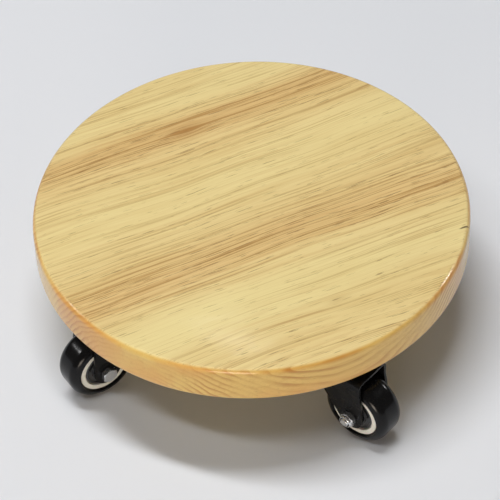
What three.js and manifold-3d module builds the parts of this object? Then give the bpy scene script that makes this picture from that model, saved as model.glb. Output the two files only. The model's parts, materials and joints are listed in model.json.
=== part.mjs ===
// Round wooden plant caddy on four swivel plate casters, in millimetres.
// +Z is up. The origin is on the floor, under the centre of the round board.
import * as THREE from "three";
import { mergeVertices } from "three/addons/utils/BufferGeometryUtils.js";
import Module from "manifold-3d";

const wasm = await Module();
wasm.setup();

// ---- driving dimensions ----------------------------------------------------
const GAP = 0.3; // room left between pieces that touch on the real object

// round board
const BOARD_RADIUS = 150;
const BOARD_THICKNESS = 30;
const TOP_ROUND_WIDTH = 3.5; // the top edge is a quarter ellipse
const TOP_ROUND_HEIGHT = 5;
const BOTTOM_ROUND = 6;
const BOARD_SEGMENTS = 64;

// caster stations
// Polar place of each swivel axis under the board and the direction its wheel trails in, degrees.
// The casters were screwed on by hand, so the two diagonals differ a little.
const STATIONS = {
  front_left: { radius: 112.5, azimuth: -148, trail: -148 },
  front_right: { radius: 121.5, azimuth: -62, trail: -41 },
  back_right: { radius: 112.5, azimuth: 32, trail: 64 },
  back_left: { radius: 121.5, azimuth: 118, trail: 158 },
};

// caster as a whole
const CASTER_HEIGHT = 68; // floor to the board's underside
const WHEEL_RADIUS = 25.4; // two inches across
const TRAIL = 17.5; // swivel axis to axle
const AXLE_Z = WHEEL_RADIUS - CASTER_HEIGHT; // below the board's underside

// top plate
const SHEET = 2;
const PLATE_LENGTH = 58; // along the board's rim
const PLATE_WIDTH = 44; // along the board's radius
const PLATE_CORNER = 5;
const SCREW_SPACING_LONG = 44;
const SCREW_SPACING_SHORT = 32;
const PLATE_HOLE_RADIUS = 2.7;
const DISH_DEPTH = 6.5; // underside of the pressed dish, below the board
const DISH_TOP_RADIUS = 15.5;
const DISH_FLOOR_RADIUS = 10;

// kingpin rivet
const KINGPIN_RADIUS = 3;
const KINGPIN_HEAD_RADIUS = 5.5;
const RACE_RADIUS = 8.5; // flange that carries the fork from below
const RACE_THICKNESS = 1.8;

// ball ring between the dish and the fork's crown
const BALL_RADIUS = 1.6;
const BALL_COUNT = 6;
const BALL_PITCH_RADIUS = 14.8;
const BALL_Z = -5.1;

// fork
const CROWN_RADIUS = 19;
const CROWN_TOP = -3.2;
const CROWN_FLOOR = -7.2; // upper face of the crown's floor
const CROWN_BORE = 3.8;
const LEG_INSIDE = 12.7; // wheel's middle plane to a leg's inner face
const LEG_END_RADIUS = 9.6;
const LEG_FRONT_TOP = -20; // x of the leading edge under the crown
const LEG_BACK_TOP = 25; // x of the trailing edge under the crown
const AXLE_HOLE_RADIUS = 3.3;

// wheel
const TYRE_HALF_WIDTH = 11.5;
const TYRE_SHOULDER = 7;
const TYRE_BORE = 18.5;
const CORE_RIM_HALF_WIDTH = 10.2;
const CORE_RIM_INSIDE = 14.6;
const CORE_WEB_HALF_WIDTH = 7.5;
const CORE_BORE = 8.3;
const BUSH_FLANGE_RADIUS = 13.9;
const BUSH_FACE = 12.1; // middle plane to the bush's outer face
const BUSH_BORE = 3.25;

// axle bolt and lock nut
const AXLE_RADIUS = 3;
const HEX_ACROSS_FLATS = 10;
const BOLT_HEAD_HEIGHT = 4;
const NUT_HEIGHT = 4;
const NUT_COLLAR_RADIUS = 4.7;
const NUT_COLLAR_HEIGHT = 1.9;
const BOLT_END_PROUD = 0.8; // bolt end beyond the nut's collar

// wood screws
const SCREW_HEAD_RADIUS = 4;
const SCREW_HEAD_HEIGHT = 2.4;
const SCREW_RADIUS = 1.9;
const SCREW_REACH = 16; // tip above the board's underside
const PILOT_RADIUS = 2.3;

// facets round a full turn
const WHEEL_SEGMENTS = 28;
const PLATE_SEGMENTS = 16;
const SMALL_SEGMENTS = 12;

// ---- colours ---------------------------------------------------------------
const material = (color, roughness, metalness = 0) =>
  new THREE.MeshStandardMaterial({ color, roughness, metalness });
const pineWood = material(0xdcc183, 0.4);
const blackPaint = material(0x0d0d0f, 0.25, 0.3);
const blackPolyurethane = material(0x17171a, 0.35);
const creamPlastic = material(0xe8e0cc, 0.35);
const blackPlastic = material(0x101012, 0.4);
const zincSteel = material(0xb4b6b8, 0.3, 0.9);

// ---- geometry helpers ------------------------------------------------------
const radians = THREE.MathUtils.degToRad;
const point = (x, y) => new THREE.Vector2(x, y);

// Solid of revolution about Z; the profile lists [radius, z] with the material on its left.
function turned(profile, segments) {
  const points = profile.map(([r, z]) => point(r, z));
  return new THREE.LatheGeometry(points, segments).rotateX(Math.PI / 2);
}

// The same about Y, with a flat of the facets facing down.
function turnedOnAxle(profile, segments) {
  return turned(profile, segments)
    .rotateZ(Math.PI / segments)
    .rotateX(-Math.PI / 2)
    .rotateY(Math.PI / 2);
}

// Points of a quarter arc between two angles, as [radius, z] pairs.
function arc(centreX, centreY, radiusX, radiusY, from, to, steps) {
  return Array.from({ length: steps + 1 }, (_, i) => {
    const a = radians(from + ((to - from) * i) / steps);
    return [centreX + radiusX * Math.cos(a), centreY + radiusY * Math.sin(a)];
  });
}

function solid(geometry) {
  const flat = geometry.index ? geometry.toNonIndexed() : geometry.clone();
  const bare = new THREE.BufferGeometry();
  bare.setAttribute("position", flat.getAttribute("position"));
  const merged = mergeVertices(bare, 1e-3);
  return new wasm.Manifold(
    new wasm.Mesh({
      numProp: 3,
      vertProperties: merged.attributes.position.array,
      triVerts: new Uint32Array(merged.index.array),
    }),
  );
}

function geometryOf(manifold) {
  const mesh = manifold.getMesh();
  const geometry = new THREE.BufferGeometry();
  geometry.setAttribute("position", new THREE.BufferAttribute(mesh.vertProperties, 3));
  geometry.setIndex(new THREE.BufferAttribute(mesh.triVerts, 1));
  return geometry;
}

const rod = (radius, low, high, segments = SMALL_SEGMENTS) =>
  turned([[0, low], [radius, low], [radius, high], [0, high]], segments);
const crossRod = (radius, low, high, segments = SMALL_SEGMENTS) =>
  rod(radius, low, high, segments).rotateX(-Math.PI / 2);

function roundedRectangle(width, height, corner) {
  const [w, h] = [width / 2 - corner, height / 2 - corner];
  const shape = new THREE.Shape();
  shape.absarc(w, h, corner, 0, Math.PI / 2);
  shape.absarc(-w, h, corner, Math.PI / 2, Math.PI);
  shape.absarc(-w, -h, corner, Math.PI, 1.5 * Math.PI);
  shape.absarc(w, -h, corner, 1.5 * Math.PI, 2 * Math.PI);
  return shape;
}

const extruded = (shape, depth, curveSegments = 4) =>
  new THREE.ExtrudeGeometry(shape, { depth, bevelEnabled: false, curveSegments });

function hexagon(acrossFlats) {
  const corner = acrossFlats / Math.sqrt(3);
  const points = Array.from({ length: 6 }, (_, i) => {
    const a = radians(60 * i);
    return point(corner * Math.cos(a), corner * Math.sin(a));
  });
  return new THREE.Shape(points);
}

// ---- places ----------------------------------------------------------------
const stations = Object.entries(STATIONS).map(([corner, place]) => {
  const azimuth = radians(place.azimuth);
  return {
    corner,
    azimuth,
    trail: radians(place.trail),
    x: place.radius * Math.cos(azimuth),
    y: place.radius * Math.sin(azimuth),
  };
});
// Screw places on one plate: x along the board's radius, y along its rim.
const screwPlaces = [-1, 1].flatMap((x) =>
  [-1, 1].map((y) => [(x * SCREW_SPACING_SHORT) / 2, (y * SCREW_SPACING_LONG) / 2]),
);

// ---- parts, each in its own caster frame -----------------------------------
// A caster's frame has its origin on the swivel axis at the board's underside.
// In the frames of the swivelling parts the axle trails towards +X.
function boardGeometry() {
  const [bottom, top] = [CASTER_HEIGHT, CASTER_HEIGHT + BOARD_THICKNESS];
  const profile = [
    [0, bottom],
    ...arc(BOARD_RADIUS - BOTTOM_ROUND, bottom + BOTTOM_ROUND, BOTTOM_ROUND, BOTTOM_ROUND, -90, 0, 4),
    ...arc(BOARD_RADIUS - TOP_ROUND_WIDTH, top - TOP_ROUND_HEIGHT, TOP_ROUND_WIDTH, TOP_ROUND_HEIGHT, 0, 90, 4),
    [0, top],
  ];
  let board = solid(turned(profile, BOARD_SEGMENTS));
  for (const { azimuth, x, y } of stations) {
    for (const [radial, along] of screwPlaces) {
      const pilot = rod(PILOT_RADIUS, bottom - 1, bottom + SCREW_REACH + 2, 8);
      pilot.translate(radial, along, 0).rotateZ(azimuth).translate(x, y, 0);
      board = board.subtract(solid(pilot));
    }
  }
  return geometryOf(board);
}

function plateGeometry() {
  const outline = roundedRectangle(PLATE_WIDTH, PLATE_LENGTH, PLATE_CORNER);
  const sheet = solid(extruded(outline, SHEET, 3).translate(0, 0, -SHEET));
  const slope = DISH_TOP_RADIUS - DISH_FLOOR_RADIUS;
  const dish = turned(
    [
      [KINGPIN_RADIUS + GAP, -DISH_DEPTH],
      [DISH_FLOOR_RADIUS, -DISH_DEPTH],
      [DISH_TOP_RADIUS, -SHEET],
      [DISH_TOP_RADIUS, 0],
      [DISH_FLOOR_RADIUS - 1.5 + slope - 1, 0],
      [DISH_FLOOR_RADIUS - 1.5, SHEET - DISH_DEPTH],
      [KINGPIN_RADIUS + GAP, SHEET - DISH_DEPTH],
      [KINGPIN_RADIUS + GAP, -DISH_DEPTH],
    ],
    PLATE_SEGMENTS,
  );
  let plate = sheet.subtract(solid(rod(DISH_TOP_RADIUS - 0.5, -SHEET - 1, 1, PLATE_SEGMENTS)));
  plate = plate.add(solid(dish));
  for (const [x, y] of screwPlaces) {
    plate = plate.subtract(solid(rod(PLATE_HOLE_RADIUS, -SHEET - 1, 1, 8).translate(x, y, 0)));
  }
  return geometryOf(plate);
}

function kingpinGeometry() {
  const headUnder = SHEET - DISH_DEPTH + GAP;
  const raceTop = CROWN_FLOOR - SHEET - GAP;
  return turned(
    [
      [0, raceTop - RACE_THICKNESS],
      [RACE_RADIUS - 0.6, raceTop - RACE_THICKNESS],
      [RACE_RADIUS, raceTop],
      [KINGPIN_RADIUS, raceTop],
      [KINGPIN_RADIUS, headUnder],
      [KINGPIN_HEAD_RADIUS, headUnder],
      [KINGPIN_HEAD_RADIUS - 1.2, headUnder + 2],
      [0, headUnder + 2.4],
    ],
    SMALL_SEGMENTS,
  );
}

// Balls held in one ring by a thin cage through their middles.
function ballRingGeometry() {
  const half = 0.45;
  let ring = solid(
    turned(
      [
        [BALL_PITCH_RADIUS - half, BALL_Z - half],
        [BALL_PITCH_RADIUS + half, BALL_Z - half],
        [BALL_PITCH_RADIUS + half, BALL_Z + half],
        [BALL_PITCH_RADIUS - half, BALL_Z + half],
        [BALL_PITCH_RADIUS - half, BALL_Z - half],
      ],
      12,
    ),
  );
  for (let i = 0; i < BALL_COUNT; i++) {
    const a = (2 * Math.PI * i) / BALL_COUNT;
    const ball = new THREE.SphereGeometry(BALL_RADIUS, 7, 4);
    ball.translate(BALL_PITCH_RADIUS * Math.cos(a), BALL_PITCH_RADIUS * Math.sin(a), BALL_Z);
    ring = ring.add(solid(ball));
  }
  return geometryOf(ring);
}

// Side outline of a fork leg: x backwards, y up. Its leading edge runs straight into the rounded end.
function legShape() {
  const top = CROWN_FLOOR - SHEET;
  const run = TRAIL - LEG_FRONT_TOP;
  const fall = AXLE_Z - top;
  const spread = Math.asin(LEG_END_RADIUS / Math.hypot(run, fall));
  const tangent = 1.5 * Math.PI + Math.atan2(fall, run) - spread;
  const shape = new THREE.Shape();
  shape.moveTo(LEG_FRONT_TOP, top + 1.5);
  shape.lineTo(LEG_FRONT_TOP, top);
  shape.absarc(TRAIL, AXLE_Z, LEG_END_RADIUS, tangent, radians(365));
  shape.quadraticCurveTo(LEG_BACK_TOP + 2, AXLE_Z + 14, LEG_BACK_TOP, AXLE_Z + 24);
  shape.lineTo(LEG_BACK_TOP, top + 1.5);
  const hole = new THREE.Path();
  hole.absarc(TRAIL, AXLE_Z, AXLE_HOLE_RADIUS, 0, 2 * Math.PI, true);
  shape.holes.push(hole);
  return shape;
}

function forkGeometry() {
  const under = CROWN_FLOOR - SHEET;
  const crown = turned(
    [
      [CROWN_BORE, under],
      [CROWN_RADIUS - 1, under],
      [CROWN_RADIUS, under + 1],
      [CROWN_RADIUS, CROWN_TOP],
      [CROWN_RADIUS - SHEET, CROWN_TOP],
      [CROWN_RADIUS - SHEET, CROWN_FLOOR],
      [CROWN_BORE, CROWN_FLOOR],
      [CROWN_BORE, under],
    ],
    20,
  );
  const web = new THREE.BoxGeometry(12, 2 * LEG_INSIDE + SHEET, SHEET);
  web.translate(CROWN_RADIUS - 2.5, 0, under + SHEET / 2);
  let fork = solid(crown).add(solid(web));
  for (const side of [-1, 1]) {
    const leg = extruded(legShape(), SHEET, 4).rotateX(Math.PI / 2);
    leg.translate(0, SHEET / 2 + side * (LEG_INSIDE + SHEET / 2), 0);
    fork = fork.add(solid(leg));
  }
  return geometryOf(fork);
}

// The facets' flats, and not their corners, lie at the wheel's radius.
function tyreGeometry() {
  const outside = WHEEL_RADIUS / Math.cos(Math.PI / WHEEL_SEGMENTS);
  const [w, s] = [TYRE_HALF_WIDTH, TYRE_SHOULDER];
  const bore = TYRE_BORE;
  const profile = [
    [bore, -w + 1],
    ...arc(outside - s, -w + s, s, s, -90, 0, 3),
    ...arc(outside - s, w - s, s, s, 0, 90, 3),
    [bore, w - 1],
    [bore, -w + 1],
  ];
  return turnedOnAxle(profile, WHEEL_SEGMENTS);
}

function coreGeometry() {
  const [rim, web] = [CORE_RIM_HALF_WIDTH, CORE_WEB_HALF_WIDTH];
  const outside = TYRE_BORE - GAP;
  const profile = [
    [CORE_BORE, -web],
    [CORE_RIM_INSIDE, -web],
    [CORE_RIM_INSIDE, -rim],
    [outside, -rim],
    [outside, rim],
    [CORE_RIM_INSIDE, rim],
    [CORE_RIM_INSIDE, web],
    [CORE_BORE, web],
    [CORE_BORE, -web],
  ];
  return turnedOnAxle(profile, WHEEL_SEGMENTS);
}

// Flanged bearing bush for the wheel's +Y side, turned round for the other side.
function bushGeometry(side) {
  const barrel = CORE_BORE - GAP;
  const flange = CORE_WEB_HALF_WIDTH + GAP;
  const profile = [
    [BUSH_BORE, GAP],
    [barrel, GAP],
    [barrel, flange],
    [BUSH_FLANGE_RADIUS, flange],
    [BUSH_FLANGE_RADIUS, flange + 1.6],
    [BUSH_FLANGE_RADIUS - 4, flange + 2.4],
    [6.2, BUSH_FACE],
    [BUSH_BORE, BUSH_FACE],
    [BUSH_BORE, GAP],
  ];
  return turned(profile, 14).rotateX((-side * Math.PI) / 2);
}

function boltGeometry() {
  const headSide = LEG_INSIDE + SHEET + GAP;
  const end = -(headSide + NUT_HEIGHT + NUT_COLLAR_HEIGHT + BOLT_END_PROUD);
  const head = extruded(hexagon(HEX_ACROSS_FLATS), BOLT_HEAD_HEIGHT);
  head.rotateX(-Math.PI / 2).translate(0, headSide, 0);
  const shank = crossRod(AXLE_RADIUS, end, headSide + 1, SMALL_SEGMENTS);
  return geometryOf(solid(head).add(solid(shank)));
}

function nutGeometry() {
  const face = LEG_INSIDE + SHEET + GAP;
  const body = extruded(hexagon(HEX_ACROSS_FLATS), NUT_HEIGHT).rotateX(Math.PI / 2);
  const collar = crossRod(NUT_COLLAR_RADIUS, -NUT_HEIGHT - NUT_COLLAR_HEIGHT, -NUT_HEIGHT + 1);
  const bore = crossRod(BUSH_BORE, -NUT_HEIGHT - NUT_COLLAR_HEIGHT - 1, 1);
  const nut = solid(body).add(solid(collar)).subtract(solid(bore));
  return geometryOf(nut).translate(0, -face, 0);
}

function screwGeometry() {
  const seat = -SHEET - GAP;
  return turned(
    [
      [0, seat - SCREW_HEAD_HEIGHT],
      [SCREW_HEAD_RADIUS - 1.4, seat - SCREW_HEAD_HEIGHT],
      [SCREW_HEAD_RADIUS, seat - 0.8],
      [SCREW_HEAD_RADIUS, seat],
      [SCREW_RADIUS, seat],
      [SCREW_RADIUS, SCREW_REACH - 4],
      [0, SCREW_REACH],
    ],
    8,
  );
}

// ---- assembly --------------------------------------------------------------
function piece(name, geometry, look) {
  const mesh = new THREE.Mesh(geometry, look);
  mesh.name = name;
  return mesh;
}

const caddy = new THREE.Group();
caddy.add(piece("board", boardGeometry(), pineWood));

for (const { corner, azimuth, trail, x, y } of stations) {
  const station = new THREE.Group();
  station.position.set(x, y, CASTER_HEIGHT);

  const fixed = new THREE.Group();
  fixed.rotation.z = azimuth;
  fixed.add(piece(`top_plate_${corner}`, plateGeometry(), blackPaint));
  fixed.add(piece(`kingpin_${corner}`, kingpinGeometry(), zincSteel));
  screwPlaces.forEach(([radial, along], i) => {
    const screw = piece(`screw_${corner}_${i + 1}`, screwGeometry(), zincSteel);
    screw.position.set(radial, along, 0);
    fixed.add(screw);
  });

  const swivel = new THREE.Group();
  swivel.rotation.z = trail;
  swivel.add(piece(`ball_ring_${corner}`, ballRingGeometry(), zincSteel));
  swivel.add(piece(`fork_${corner}`, forkGeometry(), blackPaint));

  const axle = new THREE.Group();
  axle.position.set(TRAIL, 0, AXLE_Z);
  axle.add(piece(`tyre_${corner}`, tyreGeometry(), blackPolyurethane));
  axle.add(piece(`wheel_core_${corner}`, coreGeometry(), creamPlastic));
  axle.add(piece(`bearing_bush_${corner}_head_side`, bushGeometry(1), blackPlastic));
  axle.add(piece(`bearing_bush_${corner}_nut_side`, bushGeometry(-1), blackPlastic));
  axle.add(piece(`axle_bolt_${corner}`, boltGeometry(), zincSteel));
  axle.add(piece(`lock_nut_${corner}`, nutGeometry(), zincSteel));

  swivel.add(axle);
  station.add(fixed, swivel);
  caddy.add(station);
}

export default caddy;
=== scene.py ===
"""Looks of the round plant caddy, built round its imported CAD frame.

Sizes are in millimetres unless they say otherwise.
"""

import json
import math

import bmesh
import bpy
from mathutils import Matrix, Vector


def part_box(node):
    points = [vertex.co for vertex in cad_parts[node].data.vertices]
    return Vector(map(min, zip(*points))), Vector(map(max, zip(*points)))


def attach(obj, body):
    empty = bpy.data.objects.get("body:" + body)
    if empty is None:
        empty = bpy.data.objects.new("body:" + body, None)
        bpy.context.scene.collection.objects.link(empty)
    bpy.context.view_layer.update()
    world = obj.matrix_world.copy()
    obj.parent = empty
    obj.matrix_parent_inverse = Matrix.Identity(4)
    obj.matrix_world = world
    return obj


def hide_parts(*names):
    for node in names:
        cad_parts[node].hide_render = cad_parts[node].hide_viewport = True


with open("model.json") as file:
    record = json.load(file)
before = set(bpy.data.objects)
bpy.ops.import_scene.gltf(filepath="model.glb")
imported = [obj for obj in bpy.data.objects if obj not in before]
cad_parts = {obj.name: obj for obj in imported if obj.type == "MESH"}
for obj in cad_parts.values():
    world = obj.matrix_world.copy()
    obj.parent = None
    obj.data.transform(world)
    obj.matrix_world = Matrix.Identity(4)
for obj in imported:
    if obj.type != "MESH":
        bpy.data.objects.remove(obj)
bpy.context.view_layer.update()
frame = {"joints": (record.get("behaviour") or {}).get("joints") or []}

MM = 0.001
CORNERS = ("front_left", "front_right", "back_right", "back_left")

# board; its top edge is rounded over a width and a height, its bottom edge by a radius
BOARD_RADIUS = 150
TOP_ROUND = (3.5, 5)
BOTTOM_ROUND = 6
GRAIN_AZIMUTH = 24.5  # degrees from +X
PILOT_RADIUS = 2.3
PILOT_DEPTH = 18

# caster: heights from the board's underside, places from the kingpin; the wheel trails towards +X
GAP = 0.3  # left between pieces that touch on the real caster
SHEET = 2
PLATE = (44, 58, 5)  # width, length and corner radius
SCREW_SPACING = (32, 44)
SCREW_PLACES = [(x * SCREW_SPACING[0] / 2, y * SCREW_SPACING[1] / 2) for x in (-1, 1) for y in (-1, 1)]
DISH_DEPTH = 6.5
CROWN_RADIUS = 19
CROWN_TOP = -3.2
CROWN_FLOOR = -7.2
LEG_INSIDE = 12.7
LEG_END_RADIUS = 9.6
LEG_FRONT = -20
LEG_BACK = 25
BALL_PITCH = 14.8
BALL_RADIUS = 1.6
BALL_Z = -5.1

# wheel and axle, along the axle from the wheel's middle plane
TYRE_HALF_WIDTH = 11.5
TYRE_BORE = 18.5
RIM_FACE = 10.2
RIM_INSIDE = 14.6
WEB_FACE = 7.5
BUSH_FACE = 12.1
LEG_OUTSIDE = LEG_INSIDE + SHEET
HEX_FLATS = 10
HEX_HEIGHT = 4
COLLAR_HEIGHT = 1.9
BOLT_RADIUS = 3
BOLT_END = 0.8


# ---- node materials --------------------------------------------------------
def srgb(red, green, blue):
    """Linear colour of an sRGB one given from 0 to 255."""

    def channel(value):
        value /= 255
        return value / 12.92 if value <= 0.04045 else ((value + 0.055) / 1.055) ** 2.4

    return (channel(red), channel(green), channel(blue), 1)


class Shader:
    """A Principled material and short calls that add nodes to it."""

    def __init__(self, name, **sockets):
        self.material = bpy.data.materials.new(name)
        self.material.use_nodes = True
        self.tree = self.material.node_tree
        self.surface = self.tree.nodes["Principled BSDF"]
        self.set(**sockets)

    def set(self, **sockets):
        for key, value in sockets.items():
            self.plug(value, self.surface.inputs[key.replace("_", " ")])

    def plug(self, value, socket):
        if isinstance(value, bpy.types.NodeSocket):
            self.tree.links.new(value, socket)
        else:
            socket.default_value = value

    def add(self, kind, inputs=(), **settings):
        node = self.tree.nodes.new(kind)
        for key, value in settings.items():
            setattr(node, key, value)
        for key, value in dict(inputs).items():
            self.plug(value, node.inputs[key])
        return node

    def place(self):
        return self.add("ShaderNodeTexCoord").outputs["Object"]

    def math(self, operation, a, b=0.0):
        return self.add("ShaderNodeMath", {0: a, 1: b}, operation=operation).outputs[0]

    def plus(self, a, b):
        return self.math("ADD", a, b)

    def minus(self, a, b):
        return self.math("SUBTRACT", a, b)

    def times(self, a, b):
        return self.math("MULTIPLY", a, b)

    def stretch(self, vector, scale, shift=(0, 0, 0)):
        node = self.add("ShaderNodeMapping", {"Vector": vector, "Scale": scale, "Location": shift})
        return node.outputs[0]

    def noise(self, vector, scale=1.0, detail=3.0, roughness=0.5):
        inputs = {"Vector": vector, "Scale": scale, "Detail": detail, "Roughness": roughness}
        return self.add("ShaderNodeTexNoise", inputs).outputs["Fac"]

    def step(self, value, low, high, to_low=0.0, to_high=1.0):
        """Smooth step of value from low to high."""
        inputs = {"Value": value, "From Min": low, "From Max": high, "To Min": to_low, "To Max": to_high}
        node = self.add("ShaderNodeMapRange", inputs, interpolation_type="SMOOTHSTEP")
        return node.outputs["Result"]

    def mix(self, factor, a, b, blend="MIX"):
        node = self.add("ShaderNodeMix", data_type="RGBA", blend_type=blend)
        self.plug(factor, node.inputs["Factor"])
        self.plug(a, node.inputs[6])
        self.plug(b, node.inputs[7])
        return node.outputs[2]

    def bump(self, height, strength, distance):
        inputs = {"Height": height, "Strength": strength, "Distance": distance}
        self.set(Normal=self.add("ShaderNodeBump", inputs).outputs["Normal"])


# ---- wood ------------------------------------------------------------------
# Places on the board are in metres from its centre, along and across its grain.
KNOTS = (
    {"place": (-0.008, 0.0895), "size": (0.016, 0.0055), "parting": 0.85, "tint": 0.5},
    {"place": (0.0127, -0.1045), "size": (0.008, 0.003), "parting": 0.6, "tint": 0.25},
)
END_CHECKS = ({"place": (0.1195, -0.0847), "size": (0.004, 0.0008)},)

# the pith's place across the grain and above the floor, how far its growth rings stand apart, in metres, and
# how many rings they waver by
PITH = (-0.085, 0.045)
RING_SPACING = 0.0038
RING_WAVER = 3.2

# brownness of the broad bands, from the near side of the board at 0 to its far side at 1
BANDS = (
    (0.0, 0.4),
    (0.09, 0.42),
    (0.17, 0.16),
    (0.25, 0.05),
    (0.3, 0.25),
    (0.345, 0.8),
    (0.4, 0.9),
    (0.45, 0.45),
    (0.53, 0.3),
    (0.62, 0.12),
    (0.7, 0.28),
    (0.76, 0.6),
    (0.81, 1.0),
    (0.85, 0.55),
    (0.9, 0.08),
    (1.0, 0.3),
)

WOOD_TONES = {
    "pale": srgb(238, 221, 158),
    "brown": srgb(226, 192, 132),
    "blotch": srgb(214, 182, 114),
    "late_wood": srgb(182, 118, 52),
    "streak": srgb(204, 160, 98),
    "line": srgb(168, 122, 60),
    "fine_fibre": srgb(196, 156, 92),
    "pore": srgb(132, 92, 44),
    "knot": srgb(170, 120, 62),
    "end_check": srgb(74, 50, 28),
    # painted shade for the steep upper rounding of the edge
    "painted_rounding_shade": srgb(196, 132, 56),
    "edge_blush": srgb(226, 172, 112),
    "edge_glaze": srgb(254, 238, 190),
}


def bell(s, along, across, mark):
    """1 in the middle of a mark on the board, falling to 0 round it."""
    offsets = zip((along, across), mark["place"], mark["size"])
    a, c = [s.math("DIVIDE", s.minus(value, middle), size) for value, middle, size in offsets]
    return s.math("EXPONENT", s.times(s.plus(s.times(a, a), s.times(c, c)), -1.0))


def brown_bands(s, fibre, across):
    """Brownness of the broad bands, with ragged borders."""
    ragged = s.noise(s.stretch(fibre, (4.0, 55.0, 55.0)), detail=4.0, roughness=0.6)
    place = s.plus(s.times(across, 1 / (2 * BOARD_RADIUS * MM)), 0.5)
    place = s.plus(place, s.times(s.minus(ragged, 0.5), 0.11))
    ramp = s.add("ShaderNodeValToRGB", {"Fac": place})
    ramp.color_ramp.interpolation = "B_SPLINE"
    stops = ramp.color_ramp.elements
    for i, (position, brown) in enumerate(BANDS):
        stop = stops[i] if i < 2 else stops.new(position)
        stop.position = position
        stop.color = (brown, brown, brown, 1)
    return ramp.outputs["Color"]


def growth_rings(s, fibre, across, height):
    """1 in the dark late wood of each growth ring. The pith lies below the near half of the board."""
    dy = s.minus(across, PITH[0])
    dz = s.minus(height, PITH[1])
    from_pith = s.math("SQRT", s.plus(s.times(dy, dy), s.times(dz, dz)))
    waver = s.noise(s.stretch(fibre, (7.0, 36.0, 22.0)), detail=3.0, roughness=0.55)
    ring = s.math("FRACT", s.plus(s.times(from_pith, 1 / RING_SPACING), s.times(waver, RING_WAVER)))
    return s.times(s.step(ring, 0.35, 0.86), s.step(ring, 1.0, 0.92))


def wood_material():
    s = Shader("lacquered_wood", Coat_Weight=0.7, Coat_Roughness=0.06, Coat_IOR=1.5, Specular_IOR_Level=0.25)
    tone = WOOD_TONES
    turn = {"Vector": s.place(), "Angle": -math.radians(GRAIN_AZIMUTH)}
    turned = s.add("ShaderNodeVectorRotate", turn, rotation_type="Z_AXIS").outputs[0]
    along, across, height = s.add("ShaderNodeSeparateXYZ", {0: turned}).outputs
    normal = s.add("ShaderNodeNewGeometry").outputs["Normal"]
    upward = s.add("ShaderNodeSeparateXYZ", {0: normal}).outputs[2]
    edge = s.step(s.math("ABSOLUTE", upward), 0.95, 0.55)

    # the grain parts round the knots, and drifts
    end_checks = [bell(s, along, across, mark) for mark in END_CHECKS]
    knots = [bell(s, along, across, mark) for mark in KNOTS]
    for near, knot in zip(knots, KNOTS):
        off = s.minus(across, knot["place"][1])
        across = s.minus(across, s.times(s.times(near, knot["parting"]), off))
    drift = s.noise(s.stretch(turned, (3.2, 5.0, 5.0)), detail=2.0)
    across = s.plus(across, s.times(s.minus(drift, 0.5), 0.03))
    fibre = s.add("ShaderNodeCombineXYZ", {0: along, 1: across, 2: height}).outputs[0]

    band = brown_bands(s, fibre, across)
    late = growth_rings(s, fibre, across, height)
    blotch = s.noise(s.stretch(fibre, (9.0, 30.0, 30.0)), detail=3.0)
    streak = s.noise(s.stretch(fibre, (4.0, 260.0, 260.0)), detail=4.0, roughness=0.65)
    line = s.noise(s.stretch(fibre, (8.0, 760.0, 760.0), (0.4, 0.1, 0)), detail=4.0, roughness=0.62)
    fine = s.noise(s.stretch(fibre, (30.0, 1700.0, 1700.0)), detail=3.0, roughness=0.65)
    pore = s.noise(s.stretch(fibre, (55.0, 1250.0, 1250.0), (0.2, 0.7, 0)), detail=2.0, roughness=0.5)

    # dark lines crowd where the wood is brown
    crowd = s.times(band, 0.09)
    line = s.step(s.plus(line, crowd), 0.54, 0.68)
    pore = s.step(s.plus(pore, crowd), 0.675, 0.725)
    streak = s.step(s.plus(streak, crowd), 0.5, 0.74)

    # how strongly rings, lines and pores show, on the faces and on the edge
    patchy = s.step(s.noise(s.stretch(turned, (14.0, 14.0, 14.0), (0.5, 0.2, 0))), 0.42, 0.62)
    edge_ring = s.times(edge, s.plus(s.times(patchy, 0.56), 0.06))
    face_ring = s.plus(s.times(band, 0.16), s.times(patchy, 0.1))
    line_depth = s.times(s.step(band, 0.1, 0.9, 0.42, 0.74), s.step(edge, 0.0, 1.0, 1.0, 0.2))
    pore_depth = s.step(edge, 0.0, 1.0, 0.6, 0.2)

    colour = s.mix(band, tone["pale"], tone["brown"])
    colour = s.mix(s.times(s.step(blotch, 0.35, 0.75), 0.22), colour, tone["blotch"])
    colour = s.mix(s.times(late, s.plus(edge_ring, face_ring)), colour, tone["late_wood"])
    colour = s.mix(s.times(streak, 0.34), colour, tone["streak"])
    colour = s.mix(s.times(line, line_depth), colour, tone["line"])
    colour = s.mix(s.times(s.step(fine, 0.3, 0.75), 0.16), colour, tone["fine_fibre"])
    colour = s.mix(s.times(pore, pore_depth), colour, tone["pore"])
    for near, knot in zip(knots, KNOTS):
        colour = s.mix(s.times(near, knot["tint"]), colour, tone["knot"])
    for near in end_checks:
        colour = s.mix(s.step(near, 0.2, 0.7, 0.0, 0.85), colour, tone["end_check"])

    # the edge drinks more lacquer than the faces; the darker orange along its upper rounding is painted
    # shade, where the round-over turns steeply away from the light
    rounding_shade_mask = s.times(edge, s.step(upward, 0.05, 0.5))
    colour = s.mix(s.times(rounding_shade_mask, s.step(patchy, 0.0, 1.0, 0.12, 0.4)), colour, tone["painted_rounding_shade"])
    blush = s.times(edge, s.step(blotch, 0.4, 0.62, 0.0, 0.5))
    colour = s.mix(blush, colour, tone["edge_blush"])
    colour = s.mix(edge, colour, s.mix(1.0, colour, tone["edge_glaze"], "MULTIPLY"))

    s.set(Base_Color=colour, Roughness=s.step(fine, 0.2, 0.8, 0.36, 0.5))
    s.bump(s.minus(s.times(fine, 0.35), pore), 0.25, 0.0002)
    ripple = s.plus(s.noise(s.stretch(turned, (25.0, 90.0, 60.0))), s.times(fine, 0.12))
    wavy = s.add("ShaderNodeBump", {"Height": ripple, "Strength": 0.3, "Distance": 0.0005})
    s.set(Coat_Normal=wavy.outputs["Normal"])
    return s.material


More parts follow.
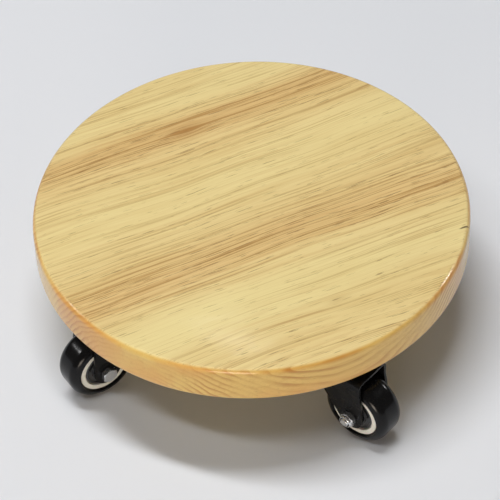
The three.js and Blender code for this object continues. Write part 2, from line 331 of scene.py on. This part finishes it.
# ---- paint, plastics and metals --------------------------------------------
def black_paint_material():
    s = Shader("black_paint", Specular_IOR_Level=0.13, Coat_Weight=0.1, Coat_Roughness=0.07)
    place = s.place()
    cloud = s.noise(place, 60.0, 4.0, 0.6)
    s.set(
        Base_Color=s.mix(cloud, (0.004, 0.004, 0.0045, 1), (0.009, 0.009, 0.0095, 1)),
        Roughness=s.step(cloud, 0.2, 0.8, 0.2, 0.34),
    )
    s.bump(s.noise(place, 900.0, 2.0), 0.12, 0.0001)
    return s.material


def tyre_material():
    s = Shader("black_polyurethane", Specular_IOR_Level=0.15, Coat_Weight=0.1, Coat_Roughness=0.05)
    place = s.place()
    cloud = s.noise(place, 90.0, 4.0, 0.6)
    dust = s.step(s.noise(place, 420.0, 5.0, 0.7), 0.5, 0.8)
    s.set(
        Base_Color=s.mix(s.times(dust, 0.25), (0.005, 0.005, 0.0055, 1), (0.022, 0.021, 0.021, 1)),
        Roughness=s.step(cloud, 0.25, 0.75, 0.14, 0.24),
    )
    s.bump(s.noise(place, 700.0, 3.0), 0.15, 0.0001)
    return s.material


def black_plastic_material():
    s = Shader("black_plastic", Specular_IOR_Level=0.6, Coat_Weight=0.5, Coat_Roughness=0.06)
    place = s.place()
    cloud = s.noise(place, 200.0, 3.0)
    s.set(
        Base_Color=s.mix(cloud, (0.006, 0.006, 0.006, 1), (0.012, 0.012, 0.012, 1)),
        Roughness=s.step(cloud, 0.3, 0.7, 0.16, 0.28),
    )
    s.bump(s.noise(place, 1600.0, 2.0), 0.1, 0.00008)
    return s.material


def cream_plastic_material():
    s = Shader("cream_plastic", Specular_IOR_Level=0.45, Subsurface_Weight=0.06, Subsurface_Scale=0.002)
    place = s.place()
    cloud = s.noise(place, 70.0, 4.0, 0.6)
    speck = s.step(s.noise(place, 900.0, 2.0), 0.66, 0.76)
    tint = s.mix(cloud, srgb(248, 246, 238), srgb(238, 233, 219))
    s.set(
        Base_Color=s.mix(s.times(speck, 0.35), tint, srgb(150, 138, 116)),
        Roughness=s.step(cloud, 0.25, 0.75, 0.3, 0.46),
    )
    s.bump(s.noise(place, 1300.0, 2.0), 0.1, 0.00008)
    return s.material


def zinc_material(name="zinc_steel", rough=0.14):
    s = Shader(name, Metallic=0.93)
    place = s.place()
    cloud = s.noise(place, 350.0, 4.0, 0.6)
    lathe_marks = s.noise(s.stretch(place, (500.0, 500.0, 9000.0)), 1.0, 2.0)
    s.set(
        Base_Color=s.mix(cloud, srgb(240, 241, 242), srgb(205, 207, 210)),
        Roughness=s.step(cloud, 0.25, 0.8, rough, rough + 0.16),
    )
    s.bump(lathe_marks, 0.2, 0.00005)
    return s.material


def nylon_material():
    s = Shader("nylon_insert", Subsurface_Weight=0.1, Subsurface_Scale=0.001)
    cloud = s.noise(s.place(), 800.0, 3.0)
    s.set(
        Base_Color=s.mix(cloud, srgb(34, 36, 40), srgb(24, 25, 28)),
        Roughness=s.step(cloud, 0.3, 0.7, 0.4, 0.55),
    )
    s.bump(cloud, 0.1, 0.00005)
    return s.material


wood = wood_material()
black_paint = black_paint_material()
polyurethane = tyre_material()
black_plastic = black_plastic_material()
cream_plastic = cream_plastic_material()
zinc = zinc_material()
bearing_steel = zinc_material("bearing_steel", 0.1)
nylon = nylon_material()

# each kind of piece: its material slot and its materials
LOOKS = {
    "board": ("pine_wood", [wood]),
    "top_plate": ("black_paint", [black_paint]),
    "kingpin": ("zinc_steel", [zinc]),
    "screw": ("zinc_steel", [zinc]),
    "ball_ring": ("bearing_steel", [bearing_steel]),
    "fork": ("black_paint", [black_paint]),
    "axle_bolt": ("zinc_steel", [zinc]),
    "lock_nut": ("zinc_steel", [zinc, nylon]),
    "tyre": ("black_polyurethane", [polyurethane]),
    "wheel_core": ("cream_plastic", [cream_plastic]),
    "bearing_bush": ("black_plastic", [black_plastic]),
}


# ---- mesh helpers ----------------------------------------------------------
def finish_mesh(bm, name, sharp=32):
    """Turns the bmesh, in millimetres, into a smooth mesh in metres."""
    bmesh.ops.remove_doubles(bm, verts=bm.verts, dist=1e-4)
    bmesh.ops.recalc_face_normals(bm, faces=bm.faces)
    bmesh.ops.scale(bm, vec=(MM, MM, MM), verts=bm.verts)
    mesh = bpy.data.meshes.new(name)
    bm.to_mesh(mesh)
    bm.free()
    return smoothed(mesh, sharp)


def smoothed(mesh, sharp):
    """Shades the mesh smooth, except across edges above the sharp angle, in degrees."""
    mesh.shade_smooth()
    mesh.set_sharp_from_angle(angle=math.radians(sharp))
    return mesh


def skin(bm, loops, closed=True, material=0):
    """Quads between neighbouring loops of points with equal counts; a loop with one point is a tip."""
    rows = [[bm.verts.new(p) for p in loop] for loop in loops]
    for a, b in zip(rows, rows[1:]):
        count = max(len(a), len(b))
        for i in range(count if closed else count - 1):
            j = (i + 1) % count
            corners = [a[i % len(a)], a[j % len(a)], b[j % len(b)], b[i % len(b)]]
            face = list(dict.fromkeys(corners))
            if len(face) > 2:
                bm.faces.new(face).material_index = material


def arc(cx, cy, radius_x, radius_y, start, end, steps):
    """Points of an arc between two angles in degrees."""
    return [
        (cx + radius_x * math.cos(a), cy + radius_y * math.sin(a))
        for a in (math.radians(start + (end - start) * i / steps) for i in range(steps + 1))
    ]


def fillet(points, radii, steps=4):
    """Closed or open outline with each corner rounded by its own radius."""
    result = []
    count = len(points)
    for i, (here, radius) in enumerate(zip(points, radii)):
        if not radius:
            result.append(here)
            continue
        p = Vector(here)
        before = (Vector(points[i - 1]) - p).normalized()
        after = (Vector(points[(i + 1) % count]) - p).normalized()
        half = before.angle(after) / 2
        reach = radius / math.tan(half)
        start, end = p + before * reach, p + after * reach
        for k in range(steps + 1):
            t = k / steps
            q = start.lerp(p, t).lerp(p.lerp(end, t), t)
            result.append(tuple(q))
    return result


def lathe(bm, profile, segments=96, material=0):
    """Surface of revolution of (radius, z) points about Z; a radius of 0 makes a tip."""
    loops = []
    for radius, z in profile:
        if radius < 1e-6:
            loops.append([(0, 0, z)])
        else:
            angles = (2 * math.pi * i / segments for i in range(segments))
            loops.append([(radius * math.cos(a), radius * math.sin(a), z) for a in angles])
    skin(bm, loops, material=material)


def ring_profile(points, radii, steps=4):
    """Rounded closed section for a lathe, repeated at its start so that the ring closes."""
    outline = fillet(points, radii, steps)
    return outline + [outline[0]]


def hexagon(bm, low, high, flats, chamfer_low=False, bore=0):
    """Hexagon head or nut about Z whose corners are cut back by a 30 degree cone."""
    half = flats / 2
    end_face = half * 0.97
    segments = 72
    angles = [2 * math.pi * i / segments for i in range(segments)]

    def side(a):
        return half / math.cos((a + math.pi / 6) % (math.pi / 3) - math.pi / 6)

    def drop(a):
        return max(0.0, (side(a) - end_face) * math.tan(math.radians(30)))

    def loop(radius, z):
        return [(radius * math.cos(a), radius * math.sin(a), z) for a in angles]

    def corner_loop(z, sign):
        return [(side(a) * math.cos(a), side(a) * math.sin(a), z + sign * drop(a)) for a in angles]

    inner_low = [loop(bore, low)] if bore else [[(0, 0, low)]]
    inner_high = [loop(bore, high)] if bore else [[(0, 0, high)]]
    low_loops = [loop(end_face, low), corner_loop(low, 1)] if chamfer_low else [corner_loop(low, 0)]
    high_loops = [corner_loop(high, -1), loop(end_face, high)]
    loops = inner_low + low_loops + high_loops + inner_high
    if bore:
        loops.append(loops[0])
    skin(bm, loops)


def add_piece(kind, node, mesh, matrix, body):
    """Puts a detailed piece where the CAD node is, on the same body."""
    slot, materials = LOOKS[kind]
    for material in materials:
        mesh.materials.append(material)
    piece = bpy.data.objects.new("look_" + node, mesh)
    bpy.context.scene.collection.objects.link(piece)
    piece.matrix_world = matrix
    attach(piece, body)
    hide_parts(node)


def bake_modifiers(piece):
    """Replaces the piece's mesh by what its modifiers make of it."""
    bpy.context.view_layer.update()
    graph = bpy.context.evaluated_depsgraph_get()
    mesh = bpy.data.meshes.new_from_object(piece.evaluated_get(graph))
    piece.modifiers.clear()
    piece.data = mesh
    return mesh


def cut(mesh, cutter_mesh, name):
    """Mesh minus the cutter."""
    body = bpy.data.objects.new(name, mesh)
    tool = bpy.data.objects.new(name + "_tool", cutter_mesh)
    for o in (body, tool):
        bpy.context.scene.collection.objects.link(o)
    modifier = body.modifiers.new("cut", "BOOLEAN")
    modifier.operation = "DIFFERENCE"
    modifier.solver = "EXACT"
    modifier.object = tool
    result = bake_modifiers(body)
    for o in (body, tool):
        bpy.data.objects.remove(o)
    return result


# ---- meshes of one caster --------------------------------------------------
def plate_mesh():
    """Pressed top plate with its centre dish, below z = 0."""
    width, length, corner = PLATE
    steps = 96
    outline = []
    corners = ((1, 1, 0), (-1, 1, 90), (-1, -1, 180), (1, -1, 270))
    for sx, sy, start in corners:
        centre = (sx * (width / 2 - corner), sy * (length / 2 - corner))
        outline += arc(*centre, corner, corner, start, start + 90, 6)

    def reach(a):
        """Distance from the centre to the outline along angle a."""
        best = None
        direction = Vector((math.cos(a), math.sin(a)))
        for p, q in zip(outline, outline[1:] + outline[:1]):
            p, q = Vector(p), Vector(q)
            side = q - p
            denominator = direction.cross(side)
            if abs(denominator) < 1e-9:
                continue
            t = p.cross(side) / denominator
            u = p.cross(direction) / denominator
            if t > 0 and -1e-6 <= u <= 1 + 1e-6:
                best = t if best is None else min(best, t)
        return best

    angles = sorted(
        {round(2 * math.pi * i / steps, 9) for i in range(steps)}
        | {round(math.atan2(y, x) % (2 * math.pi), 9) for x, y in outline}
    )

    def edge_loop(inset, z):
        return [((reach(a) - inset) * math.cos(a), (reach(a) - inset) * math.sin(a), z) for a in angles]

    def circle(radius, z):
        return [(radius * math.cos(a), radius * math.sin(a), z) for a in angles]

    hole = 3.3
    dish_floor = SHEET - DISH_DEPTH
    bm = bmesh.new()
    skin(
        bm,
        [
            circle(hole, dish_floor),
            circle(8.0, dish_floor),
            circle(9.0, dish_floor + 0.5),
            circle(13.2, -0.6),
            circle(14.2, 0),
            edge_loop(0.5, 0),
            edge_loop(0.12, -0.15),
            edge_loop(0, -0.5),
            edge_loop(0, -SHEET + 0.5),
            edge_loop(0.12, -SHEET + 0.15),
            edge_loop(0.5, -SHEET),
            circle(16.3, -SHEET),
            circle(15.2, -SHEET - 0.4),
            circle(10.8, -DISH_DEPTH + 0.5),
            circle(9.8, -DISH_DEPTH),
            circle(hole, -DISH_DEPTH),
            circle(hole, dish_floor),
        ],
    )
    return finish_mesh(bm, "top_plate")


def kingpin_mesh():
    """Rivet with its head in the plate's dish and a flange that carries the crown."""
    flange_top = CROWN_FLOOR - SHEET - GAP
    flange_under = flange_top - 1.8
    head_under = SHEET - DISH_DEPTH + GAP
    shank = 3
    head = 5.5
    points = [(0, flange_under), (7.9, flange_under), (8.5, flange_top)]
    points += [(shank, flange_top), (shank, head_under), (head, head_under)]
    profile = fillet(points, [0, 0.6, 0.25, 0, 0, 0.4])
    profile += arc(0, head_under + 0.5, head, 1.9, 8, 90, 8)
    bm = bmesh.new()
    lathe(bm, profile, 48)
    return finish_mesh(bm, "kingpin")


def ball_ring_mesh():
    """Balls on a thin cage ring."""
    bm = bmesh.new()
    half = 0.45
    square = [(BALL_PITCH - half, BALL_Z - half), (BALL_PITCH + half, BALL_Z - half)]
    square += [(BALL_PITCH + half, BALL_Z + half), (BALL_PITCH - half, BALL_Z + half)]
    lathe(bm, ring_profile(square, [0.15] * 4, 2), 64)
    for i in range(6):
        a = math.pi * i / 3
        place = Matrix.Translation((BALL_PITCH * math.cos(a), BALL_PITCH * math.sin(a), BALL_Z))
        bmesh.ops.create_icosphere(bm, subdivisions=3, radius=BALL_RADIUS, matrix=place)
    return finish_mesh(bm, "ball_ring")


def bezier(p0, p1, p2, steps):
    """Points of a quadratic curve."""
    p0, p1, p2 = Vector(p0), Vector(p1), Vector(p2)
    return [p0.lerp(p1, i / steps).lerp(p1.lerp(p2, i / steps), i / steps) for i in range(steps + 1)]


def x_at(curve, z):
    """x of a falling curve at height z."""
    for p, q in zip(curve, curve[1:]):
        if p.y >= z >= q.y:
            return p.x + (q.x - p.x) * (p.y - z) / (p.y - q.y)
    return curve[-1].x


def leg_edges(trail, axle_z, top):
    """Function that gives the x of a leg's front and back edge at a height."""
    radius = LEG_END_RADIUS
    root = CROWN_FLOOR - SHEET
    run, fall = trail - LEG_FRONT, axle_z - root
    tangent = 1.5 * math.pi + math.atan2(fall, run) - math.asin(radius / math.hypot(run, fall))
    touch = (trail + radius * math.cos(tangent), axle_z + radius * math.sin(tangent))
    front = [Vector((LEG_FRONT, top)), Vector((LEG_FRONT, root)), Vector(touch)]
    side = (trail + radius * math.cos(math.radians(5)), axle_z + radius * math.sin(math.radians(5)))
    back = [Vector((LEG_BACK, top))] + bezier((LEG_BACK, axle_z + 24), (LEG_BACK + 2, axle_z + 14), side, 24)

    def edges(z):
        end_reach = math.sqrt(max(0.0, radius**2 - (z - axle_z) ** 2))
        x0 = x_at(front, z) if z > front[-1].y else trail - end_reach
        x1 = x_at(back, z) if z > back[-1].y else trail + end_reach
        return x0, x1

    return edges


def bent_sheet(trail, axle_z):
    """Middle surface of the two legs and of the strip that joins them under the crown."""
    middle = LEG_INSIDE + SHEET / 2
    level = CROWN_FLOOR - SHEET / 2
    bend = 3.2
    top = level - bend
    edges = leg_edges(trail, axle_z, top)
    end_degrees = (*range(8, 65, 8), 71, 77, 82, 86, 89)
    heights = [top + (axle_z - top) * i / 16 for i in range(17)]
    heights += [axle_z - LEG_END_RADIUS * math.sin(math.radians(a)) for a in end_degrees]
    half = [(y, level) for y in (0, 3.5, 7, middle - bend)]
    half += [(y, z) for y, z in arc(middle - bend, level - bend, bend, bend, 90, 0, 6)[1:]]
    half += [(middle, z) for z in heights[1:]]
    columns = 20
    rows = []
    for y, z in [(-y, z) for y, z in reversed(half[1:])] + half:
        x0, x1 = edges(min(z, top))
        rows.append([(x0 + (x1 - x0) * i / columns, y, z) for i in range(columns + 1)])
    bm = bmesh.new()
    skin(bm, rows, closed=False)
    return finish_mesh(bm, "fork", 40)


def fork_mesh(trail, axle_z):
    """Bent sheet thickened and softened at its edges, and the crown's rim round the balls."""
    piece = bpy.data.objects.new("fork_sheet", bent_sheet(trail, axle_z))
    bpy.context.scene.collection.objects.link(piece)
    solid = piece.modifiers.new("sheet", "SOLIDIFY")
    solid.thickness = SHEET * MM
    solid.offset = 0
    solid.use_even_offset = True
    soft = piece.modifiers.new("edges", "BEVEL")
    soft.width = 0.45 * MM
    soft.segments = 3
    soft.limit_method = "ANGLE"
    soft.angle_limit = math.radians(50)
    mesh = bake_modifiers(piece)
    bpy.data.objects.remove(piece)

    bm = bmesh.new()
    under = CROWN_FLOOR - SHEET
    inside = CROWN_RADIUS - SHEET
    points = [(3.8, under), (CROWN_RADIUS, under), (CROWN_RADIUS, CROWN_TOP)]
    points += [(inside, CROWN_TOP), (inside, CROWN_FLOOR), (3.8, CROWN_FLOOR)]
    lathe(bm, ring_profile(points, [0.2, 2.0, 0.5, 0.5, 0.8, 0.2], 5), 96)
    bmesh.ops.recalc_face_normals(bm, faces=bm.faces)
    bmesh.ops.scale(bm, vec=(MM, MM, MM), verts=bm.verts)
    bm.from_mesh(mesh)
    bm.to_mesh(mesh)
    bm.free()
    return smoothed(mesh, 40)


def tyre_mesh(wheel_radius):
    """Tread with a lip at the core, a fine groove and a round shoulder on each side."""
    w, r, bore = TYRE_HALF_WIDTH, wheel_radius, TYRE_BORE
    shoulder = 6.6
    right = [(bore, w - 1.5), (bore + 0.25, w - 0.95), (bore + 0.6, w - 0.95), (bore + 0.75, w - 0.5)]
    right += arc(r - shoulder, w - shoulder, shoulder, shoulder, 84, 0, 20)
    right += [(r, w / 4), (r, 0)]
    left = [(x, -y) for x, y in reversed(right[:-1])]
    bm = bmesh.new()
    lathe(bm, right + left + [right[0]], 160)
    return finish_mesh(bm, "tyre", 30)


def core_mesh():
    """Wheel body: a web about the bushes' bore, and a rim that stands out of it on both sides."""
    outside = TYRE_BORE - GAP
    right = [(8.3, WEB_FACE), (RIM_INSIDE, WEB_FACE), (RIM_INSIDE, RIM_FACE), (outside, RIM_FACE)]
    left = [(x, -y) for x, y in reversed(right)]
    bm = bmesh.new()
    lathe(bm, ring_profile(right + left, [0.2, 0.5, 0.6, 0.5, 0.5, 0.6, 0.5, 0.2], 5), 128)
    return finish_mesh(bm, "wheel_core", 30)


def bush_mesh():
    """Flanged bush on the wheel's +Z side."""
    flange = WEB_FACE + GAP
    points = [(3.25, 0.3), (8.0, 0.3), (8.0, flange), (13.9, flange), (13.9, flange + 1.4)]
    points += [(12.7, flange + 2.0), (12.0, flange + 1.2), (9.6, flange + 1.4)]
    points += [(9.2, flange + 2.6), (6.6, flange + 3.0)]
    points += [(6.2, BUSH_FACE), (3.25, BUSH_FACE)]
    radii = [0.1, 0.3, 0.3, 0.2, 0.5, 0.5, 0.4, 0.4, 0.5, 0.5, 0.3, 0.1]
    bm = bmesh.new()
    lathe(bm, ring_profile(points, radii, 4), 96)
    return finish_mesh(bm, "bearing_bush", 35)


def bolt_mesh():
    """Hex bolt along Z, head towards +Z, thread on the far end."""
    seat = LEG_OUTSIDE + GAP
    end = -(seat + HEX_HEIGHT + COLLAR_HEIGHT + BOLT_END)
    crest, root = BOLT_RADIUS, 2.55
    z = -8.0
    bm = bmesh.new()
    hexagon(bm, seat + 0.3, seat + HEX_HEIGHT, HEX_FLATS)
    lathe(bm, [(crest, seat), (4.6, seat), (4.8, seat + 0.35), (crest, seat + 0.35)], 48)
    profile = [(crest, seat + 0.5), (crest, z)]
    while z > end + 0.9:
        profile += [(crest, z - 0.1), (root, z - 0.5), (root, z - 0.6), (crest, z - 1.0)]
        z -= 1.0
    profile += [(2.9, end + 0.5), (2.4, end), (0, end)]
    lathe(bm, profile, 40)
    return finish_mesh(bm, "axle_bolt", 30)


def nut_mesh():
    """Lock nut with a nylon ring in its collar, from -Z seat outwards."""
    seat = -(LEG_OUTSIDE + GAP)
    top = seat - HEX_HEIGHT
    end = top - COLLAR_HEIGHT
    bm = bmesh.new()
    hexagon(bm, top, seat, HEX_FLATS, chamfer_low=True, bore=3.25)
    collar = [(3.9, top + 0.1), (4.75, top + 0.1), (4.6, top - 1.1)]
    collar += [(4.3, end), (3.8, end), (3.75, top - 1.2)]
    lathe(bm, ring_profile(collar, [0, 0.2, 0.3, 0.4, 0.2, 0.2], 4), 48)
    insert = [(3.2, top), (3.85, top), (3.75, top - 1.35), (3.2, top - 1.35)]
    lathe(bm, ring_profile(insert, [0, 0, 0.1, 0.2], 3), 48, material=1)
    return finish_mesh(bm, "lock_nut", 30)


def screw_mesh():
    """Pan head wood screw, head down, with a cross recess."""
    seat = -SHEET - GAP
    crest, root = 1.9, 1.4
    z = 0.5
    bm = bmesh.new()
    profile = [(0, seat - 2.4), (1.6, seat - 2.38)]
    profile += arc(1.6, seat - 0.6, 2.4, 1.78, -90, 0, 8)[1:]
    profile += [(4.0, seat - 0.1), (3.9, seat), (crest, seat), (crest, z)]
    while z < 11.5:
        profile += [(crest, z + 0.1), (root, z + 0.5), (root, z + 0.9), (crest, z + 1.3)]
        z += 1.4
    profile += [(root, 13.2), (0, 16)]
    lathe(bm, profile, 32)
    mesh = finish_mesh(bm, "screw")
    for turn in (0, 90):
        bm = bmesh.new()
        for v in bmesh.ops.create_cube(bm, size=1)["verts"]:
            wide = 4.4 if v.co.z < 0 else 2.4
            v.co = Vector((v.co.x * wide, v.co.y * 0.85, seat - 2.7 + (v.co.z + 0.5) * 2.0))
        bmesh.ops.rotate(bm, verts=bm.verts, matrix=Matrix.Rotation(math.radians(turn), 3, "Z"))
        mesh = cut(mesh, finish_mesh(bm, "recess_blade"), "screw")
    return smoothed(mesh, 32)


def board_mesh(low, high, stations):
    """Turned board with rounded edges and blind pilot holes for the screws."""
    w, h = TOP_ROUND
    face_rings = (60, 110)
    profile = [(0, low)] + [(x, low) for x in face_rings]
    profile += arc(BOARD_RADIUS - BOTTOM_ROUND, low + BOTTOM_ROUND, BOTTOM_ROUND, BOTTOM_ROUND, -90, 0, 12)
    profile += [(BOARD_RADIUS, low + 14)]
    profile += arc(BOARD_RADIUS - w, high - h, w, h, 0, 90, 14)
    profile += [(x, high) for x in reversed(face_rings)] + [(0, high)]
    bm = bmesh.new()
    lathe(bm, profile, 288)
    board = finish_mesh(bm, "board", 40)
    bm = bmesh.new()
    for matrix in stations:
        for x, y in SCREW_PLACES:
            hole = bmesh.new()
            lathe(hole, [(0, -2), (PILOT_RADIUS, -2), (PILOT_RADIUS, PILOT_DEPTH), (0, PILOT_DEPTH)], 16)
            bmesh.ops.recalc_face_normals(hole, faces=hole.faces)
            bmesh.ops.transform(hole, matrix=matrix @ Matrix.Translation((x, y, 0)), verts=hole.verts)
            holes = bpy.data.meshes.new("hole")
            hole.to_mesh(holes)
            hole.free()
            bm.from_mesh(holes)
            bpy.data.meshes.remove(holes)
    bmesh.ops.scale(bm, vec=(MM, MM, MM), verts=bm.verts)
    tool = bpy.data.meshes.new("pilot_holes")
    bm.to_mesh(tool)
    bm.free()
    return smoothed(cut(board, tool, "board"), 40)


# ---- placing ---------------------------------------------------------------
joints = {j["name"]: j for j in frame["joints"]}
board_low, board_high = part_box("board")
underside = board_low.z


class Caster:
    """Where one caster stands, from the frame's joints. Matrices are in metres."""

    def __init__(self, corner):
        pivot = Vector(joints["swivel_" + corner]["pos_m"])
        axle = Vector(joints["wheel_roll_" + corner]["pos_m"])
        azimuth = math.atan2(pivot.y, pivot.x)
        trail = axle - pivot
        self.trail = math.hypot(trail.x, trail.y) / MM
        self.axle_z = (axle.z - underside) / MM
        self.wheel_radius = axle.z / MM
        origin = Matrix.Translation((pivot.x, pivot.y, underside))
        self.fixed = origin @ Matrix.Rotation(azimuth, 4, "Z")
        self.swivel = origin @ Matrix.Rotation(math.atan2(trail.y, trail.x), 4, "Z")
        hub = Matrix.Translation((self.trail * MM, 0, self.axle_z * MM))
        self.axle = self.swivel @ hub @ Matrix.Rotation(-math.pi / 2, 4, "X")


casters = {corner: Caster(corner) for corner in CORNERS}
first = casters[CORNERS[0]]

in_mm = []
for caster in casters.values():
    place = caster.fixed.copy()
    place.translation = place.translation / MM
    in_mm.append(place)
board = board_mesh(board_low.z / MM, board_high.z / MM, in_mm)
add_piece("board", "board", board, Matrix.Identity(4), "deck")

shared = {
    "top_plate": plate_mesh(),
    "kingpin": kingpin_mesh(),
    "screw": screw_mesh(),
    "ball_ring": ball_ring_mesh(),
    "fork": fork_mesh(first.trail, first.axle_z),
    "tyre": tyre_mesh(first.wheel_radius),
    "wheel_core": core_mesh(),
    "bearing_bush": bush_mesh(),
    "axle_bolt": bolt_mesh(),
    "lock_nut": nut_mesh(),
}

other_side = Matrix.Rotation(math.pi, 4, "X")
for corner, caster in casters.items():
    fork_body, wheel_body = "swivel_fork_" + corner, "wheel_" + corner
    rows = [
        ("top_plate", "top_plate_" + corner, caster.fixed, "deck"),
        ("kingpin", "kingpin_" + corner, caster.fixed, "deck"),
        ("ball_ring", "ball_ring_" + corner, caster.swivel, "balls_" + corner),
        ("fork", "fork_" + corner, caster.swivel, fork_body),
        ("axle_bolt", "axle_bolt_" + corner, caster.axle, fork_body),
        ("lock_nut", "lock_nut_" + corner, caster.axle, fork_body),
        ("tyre", "tyre_" + corner, caster.axle, wheel_body),
        ("wheel_core", "wheel_core_" + corner, caster.axle, wheel_body),
        ("bearing_bush", f"bearing_bush_{corner}_head_side", caster.axle, wheel_body),
        ("bearing_bush", f"bearing_bush_{corner}_nut_side", caster.axle @ other_side, wheel_body),
    ]
    for i, (x, y) in enumerate(SCREW_PLACES):
        turn = Matrix.Rotation(math.radians(37 * i + 20), 4, "Z")
        place = caster.fixed @ Matrix.Translation((x * MM, y * MM, 0)) @ turn
        rows.append(("screw", f"screw_{corner}_{i + 1}", place, "deck"))
    for kind, node, matrix, body in rows:
        add_piece(kind, node, shared[kind].copy(), matrix, body)


# ---- floor, lights and camera, in metres -----------------------------------
def floor_material():
    s = Shader("floor", Roughness=0.6, Specular_IOR_Level=0.25)
    cloud = s.noise(s.place(), 2.0, 3.0)
    s.set(Base_Color=s.mix(cloud, srgb(226, 227, 231), srgb(222, 223, 227)))
    return s.material


bm = bmesh.new()
bmesh.ops.create_grid(bm, x_segments=4, y_segments=4, size=60)
floor_mesh = bpy.data.meshes.new("floor")
bm.to_mesh(floor_mesh)
bm.free()
floor_mesh.materials.append(floor_material())
floor = bpy.data.objects.new("floor", floor_mesh)
bpy.context.scene.collection.objects.link(floor)

scene = bpy.context.scene
world = bpy.data.worlds.new("studio")
scene.world = world
world.use_nodes = True
background = world.node_tree.nodes["Background"]
background.inputs["Color"].default_value = (1.0, 0.91, 0.82, 1)
background.inputs["Strength"].default_value = 0.145


def area_light(name, place, target, size, power, colour=(1, 1, 1)):
    """Lamp that faces its target; size is its width along its own X and its height, in metres."""
    data = bpy.data.lights.new(name, "AREA")
    data.shape = "RECTANGLE"
    data.size, data.size_y = size
    data.energy = power
    data.color = colour
    lamp = bpy.data.objects.new(name, data)
    lamp.location = place
    lamp.rotation_euler = (Vector(target) - Vector(place)).to_track_quat("-Z", "Y").to_euler()
    scene.collection.objects.link(lamp)
    return lamp


# two parallel ceiling tubes; each is one lamp that lights the room and a dimmer one that shines in what
# is glossy
TUBE_TURN = math.radians(-25)
TUBE_SIZE = (2.5, 0.3)
TUBE_COLOUR = (0.96, 0.985, 1)
GLARE = 0.25
for name, place, power in (("bright_tube", (-0.54, 0.3, 4.05), 116), ("dim_tube", (-1.35, -1.35, 4.05), 48)):
    for use, share in (("light", 1), ("glare", GLARE)):
        tube = area_light(f"{name}_{use}", place, (0, 0, 0), TUBE_SIZE, power * share, TUBE_COLOUR)
        tube.rotation_euler = (0, 0, TUBE_TURN)
        tube.visible_diffuse = use == "light"
        tube.visible_glossy = use == "glare"

# a low lamp in front; its narrow beam leaves the floor close to it dark
front_fill = area_light("front_fill", (-0.5, -2.6, 0.4), (0, 0, 0.08), (0.9, 0.9), 1.4, (1, 0.87, 0.72))
front_fill.data.spread = math.radians(40)

# lamps that only show as glints in what shines: place, size and power
GLINTS = {
    "far_lamp": ((-0.036, 1.225, 1.68), 0.08, 0.08),
    "side_lamp": ((1.98, 0.55, 1.36), 0.34, 12),
    "corner_lamp": ((-2.3, 0.3, 1.6), 0.3, 7),
}
for name, (place, size, power) in GLINTS.items():
    area_light(name, place, (0, 0, 0.08), (size, size), power).visible_diffuse = False

# camera: its direction and roll, its distance from the middle of the board's top, its lens in millimetres,
# and how far that middle lies right of and above the middle of the view, as slopes
ELEVATION = math.radians(45.31)
ROLL = math.radians(-2.34)
DISTANCE = 1.856
LENS = 195.2
AIM_OFF = (0.0004, 0.0159)

back = Vector((0, -math.cos(ELEVATION), math.sin(ELEVATION)))
right = Vector((1, 0, 0))
up = back.cross(right)
tilted_right = math.cos(ROLL) * right + math.sin(ROLL) * up
tilted_up = -math.sin(ROLL) * right + math.cos(ROLL) * up
turn = Vector((0, 0, -1)).rotation_difference(Vector((*AIM_OFF, -1)).normalized())
axes = Matrix((tilted_right, tilted_up, back)).transposed() @ turn.to_matrix().transposed()
camera_data = bpy.data.cameras.new("camera")
camera_data.sensor_width = 36
camera_data.lens = LENS
camera_data.clip_end = 200
camera = bpy.data.objects.new("camera", camera_data)
camera.matrix_world = Matrix.Translation(Vector((0, 0, board_high.z)) + back * DISTANCE) @ axes.to_4x4()
scene.collection.objects.link(camera)
scene.camera = camera
scene.view_settings.view_transform = "Standard"
